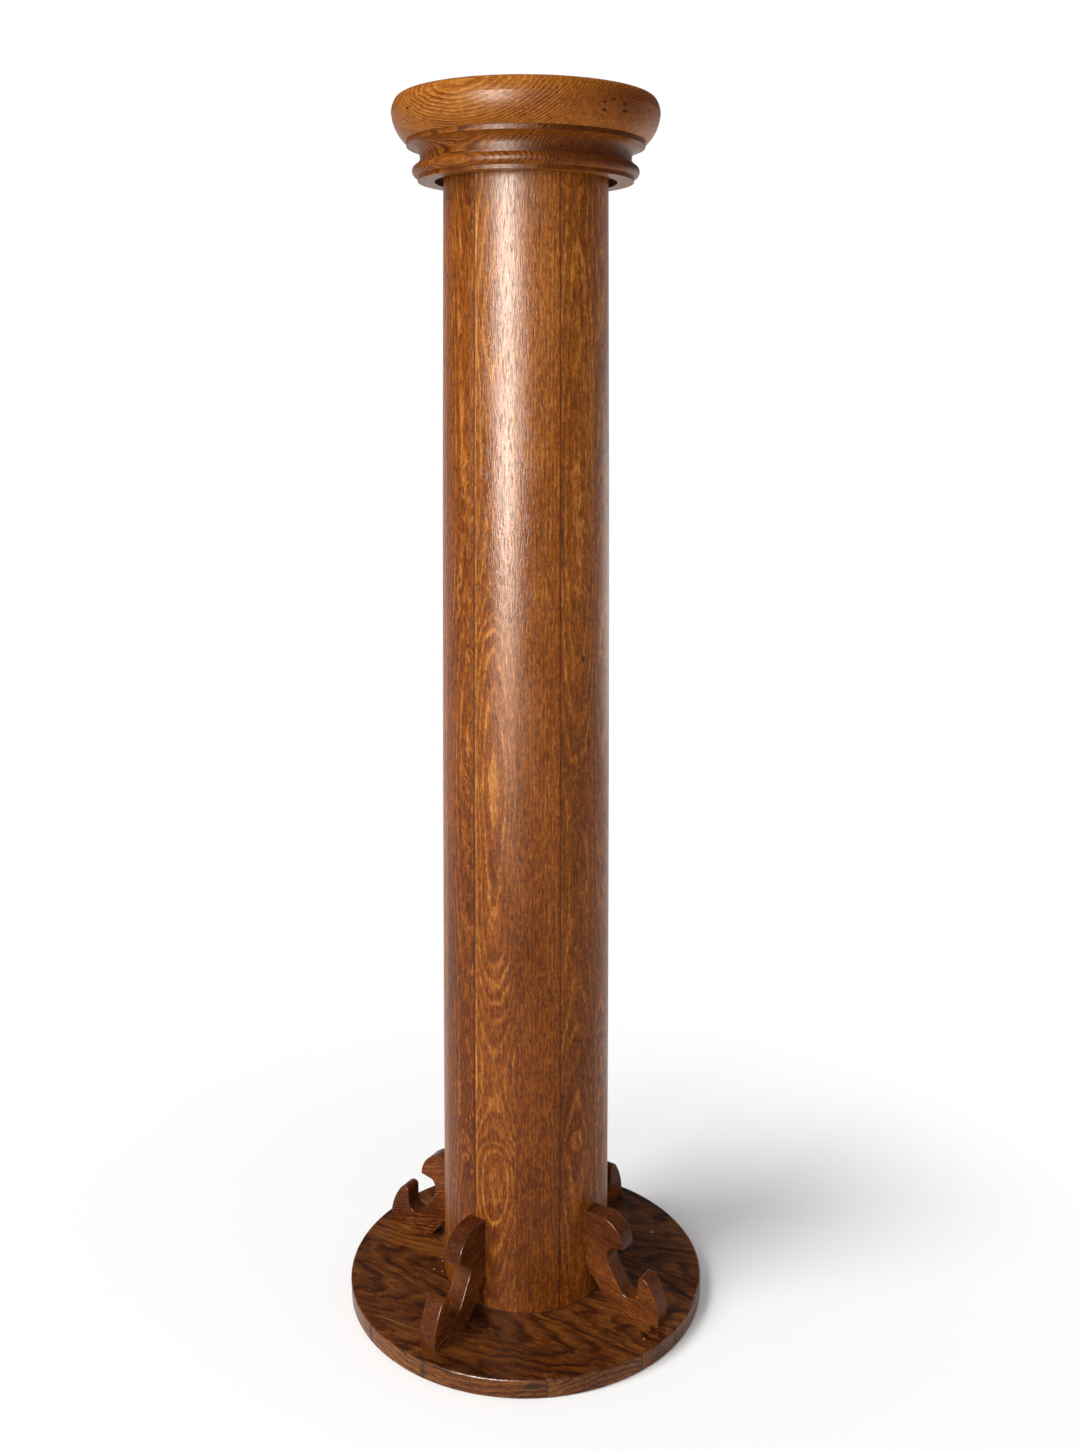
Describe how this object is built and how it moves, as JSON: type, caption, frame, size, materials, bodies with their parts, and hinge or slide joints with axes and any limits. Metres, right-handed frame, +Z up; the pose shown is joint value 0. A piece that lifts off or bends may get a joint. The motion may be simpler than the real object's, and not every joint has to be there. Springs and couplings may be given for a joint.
{
  "type": "pedestal column stand",
  "caption": "Tall wooden pedestal: a round foot board, a hollow tapered column of coopered staves with scroll brackets at its foot, and a turned capital with a flat top to stand a thing on.",
  "frame": {"origin": "centre of the round board's underside, on the floor and on the column's axis", "axes": "+Z up along the column's axis; -Y towards the front, between the two front brackets; +X to the right as seen from the front"},
  "size_m": [0.32, 0.32, 1.016],
  "materials": {
    "board_wood": "dark red-brown hardwood with darker streaks, satin varnish",
    "column_wood": "golden brown oak-like hardwood with dark glue lines, glossy varnish",
    "bracket_wood": "red-brown hardwood, satin varnish",
    "capital_wood": "golden brown hardwood with oval growth rings, glossy varnish",
    "plug_wood": "plain softwood, unfinished",
    "dowel_wood": "plain beech, unfinished",
    "screw_steel": "plain steel"
  },
  "bodies": {
    "root": {"board_plank_1": "board_wood", "board_plank_2": "board_wood", "board_plank_3": "board_wood", "board_plank_4": "board_wood", "board_plank_5": "board_wood", "board_plank_6": "board_wood", "stave_01": "column_wood", "stave_02": "column_wood", "stave_03": "column_wood", "stave_04": "column_wood", "stave_05": "column_wood", "stave_06": "column_wood", "stave_07": "column_wood", "stave_08": "column_wood", "stave_09": "column_wood", "stave_10": "column_wood", "stave_11": "column_wood", "stave_12": "column_wood", "foot_plug": "plug_wood", "neck_plug": "plug_wood", "bracket_front_right": "bracket_wood", "bracket_front_left": "bracket_wood", "bracket_rear_left": "bracket_wood", "bracket_rear_right": "bracket_wood", "capital_base": "capital_wood", "capital_top": "capital_wood", "column_screws": "screw_steel", "bracket_screws": "screw_steel", "capital_screws": "screw_steel", "capital_dowels": "dowel_wood"}
  },
  "joints": []
}
